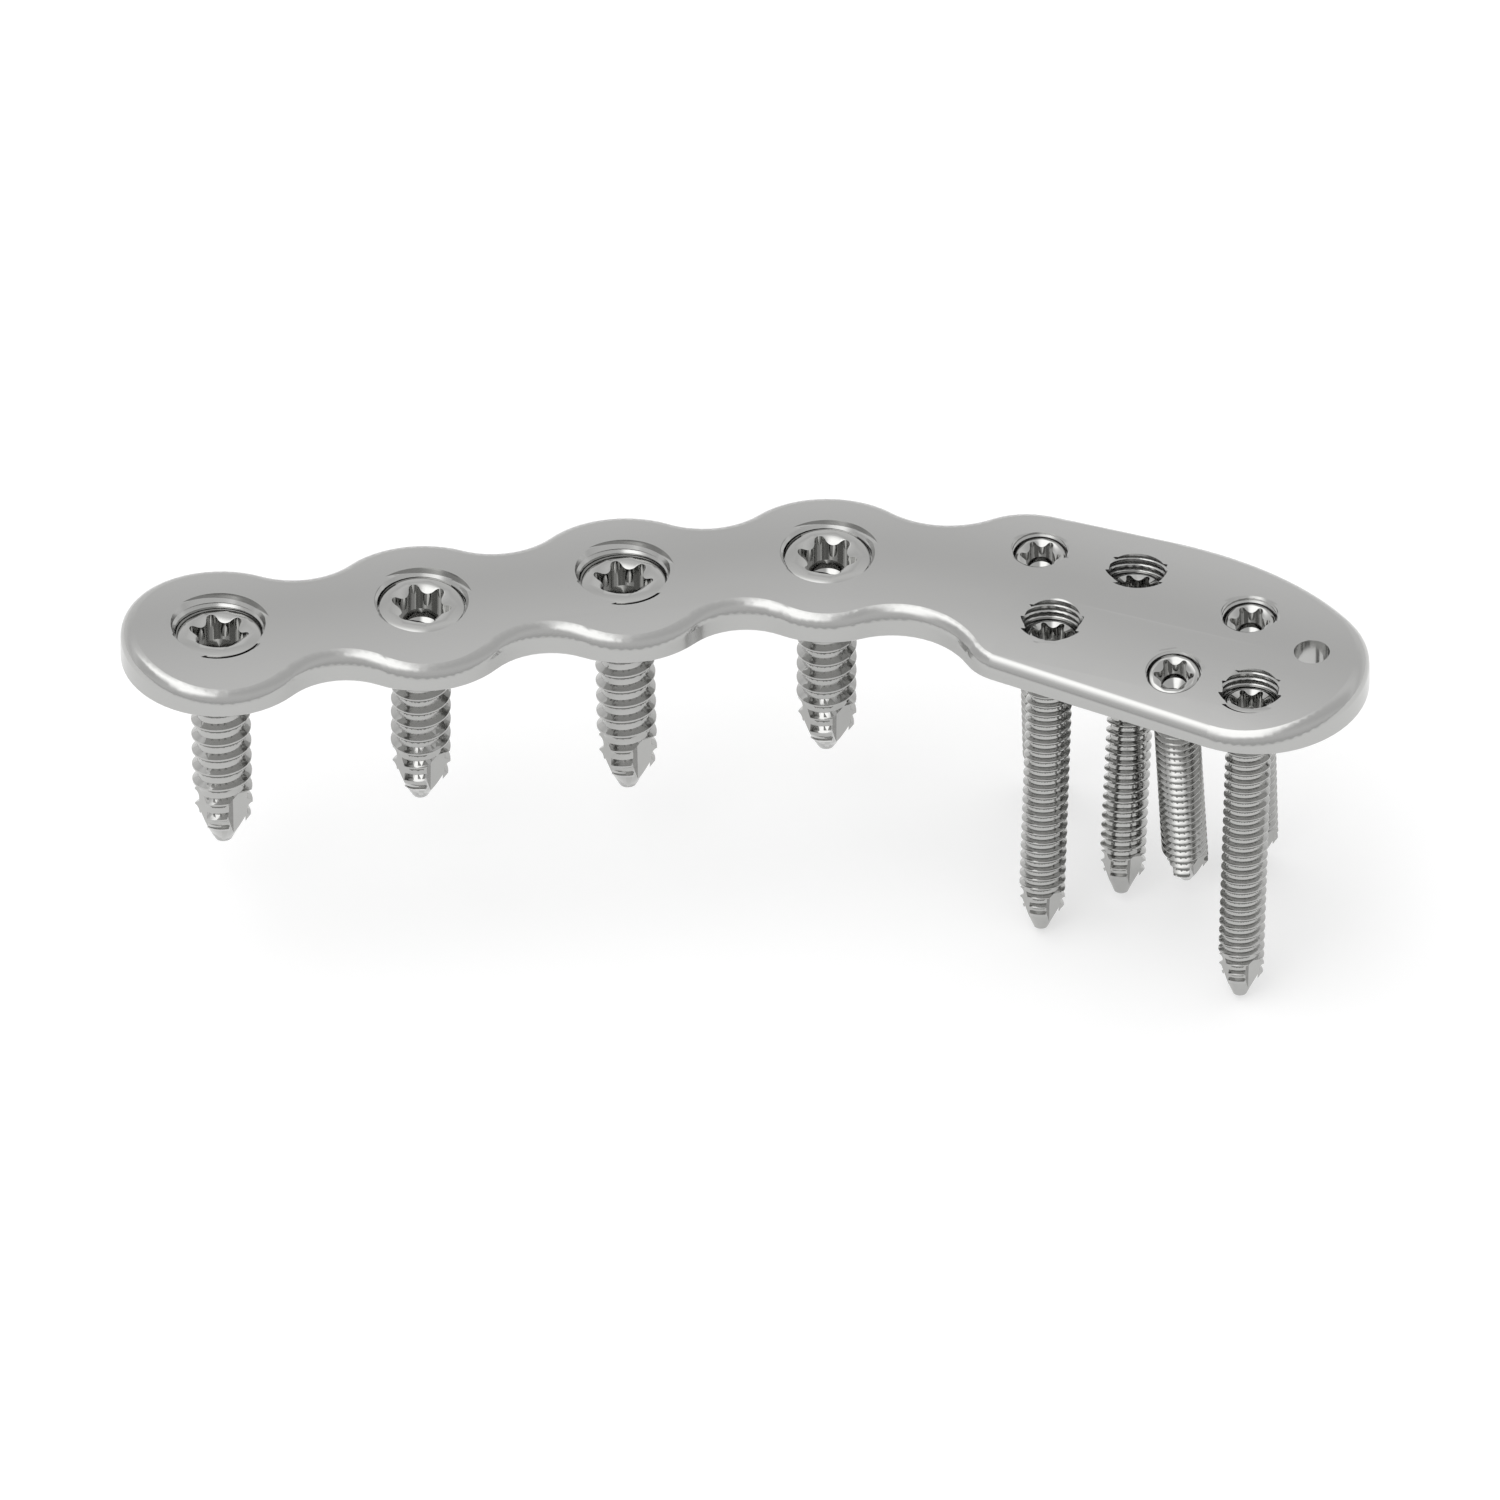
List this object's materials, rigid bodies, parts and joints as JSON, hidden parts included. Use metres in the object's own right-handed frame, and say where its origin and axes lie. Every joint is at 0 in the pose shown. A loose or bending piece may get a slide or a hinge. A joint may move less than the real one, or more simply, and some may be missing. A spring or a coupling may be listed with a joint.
{
  "type": "orthopedic bone plate",
  "caption": "Curved locking bone plate with a scalloped shaft and a wide rounded head, with self-tapping locking screws seated flush in its holes.",
  "frame": {"origin": "where the axis of the guide wire hole leaves the plate's underside", "axes": "+Z away from the bone, square to the flat underside; -X along the plate from the wide head towards the scalloped shaft; +Y towards the head's bulging rear edge"},
  "size_m": [0.0729, 0.0231, 0.0203],
  "materials": {
    "plate_steel": "satin",
    "screw_steel": "polished"
  },
  "bodies": {
    "root": {"plate": "plate_steel", "shaft_screw_1": "screw_steel", "shaft_screw_2": "screw_steel", "shaft_screw_3": "screw_steel", "shaft_screw_4": "screw_steel", "head_screw_1": "screw_steel", "head_screw_2": "screw_steel", "head_screw_3": "screw_steel", "head_screw_4": "screw_steel", "head_screw_5": "screw_steel", "head_screw_6": "screw_steel"}
  },
  "joints": []
}
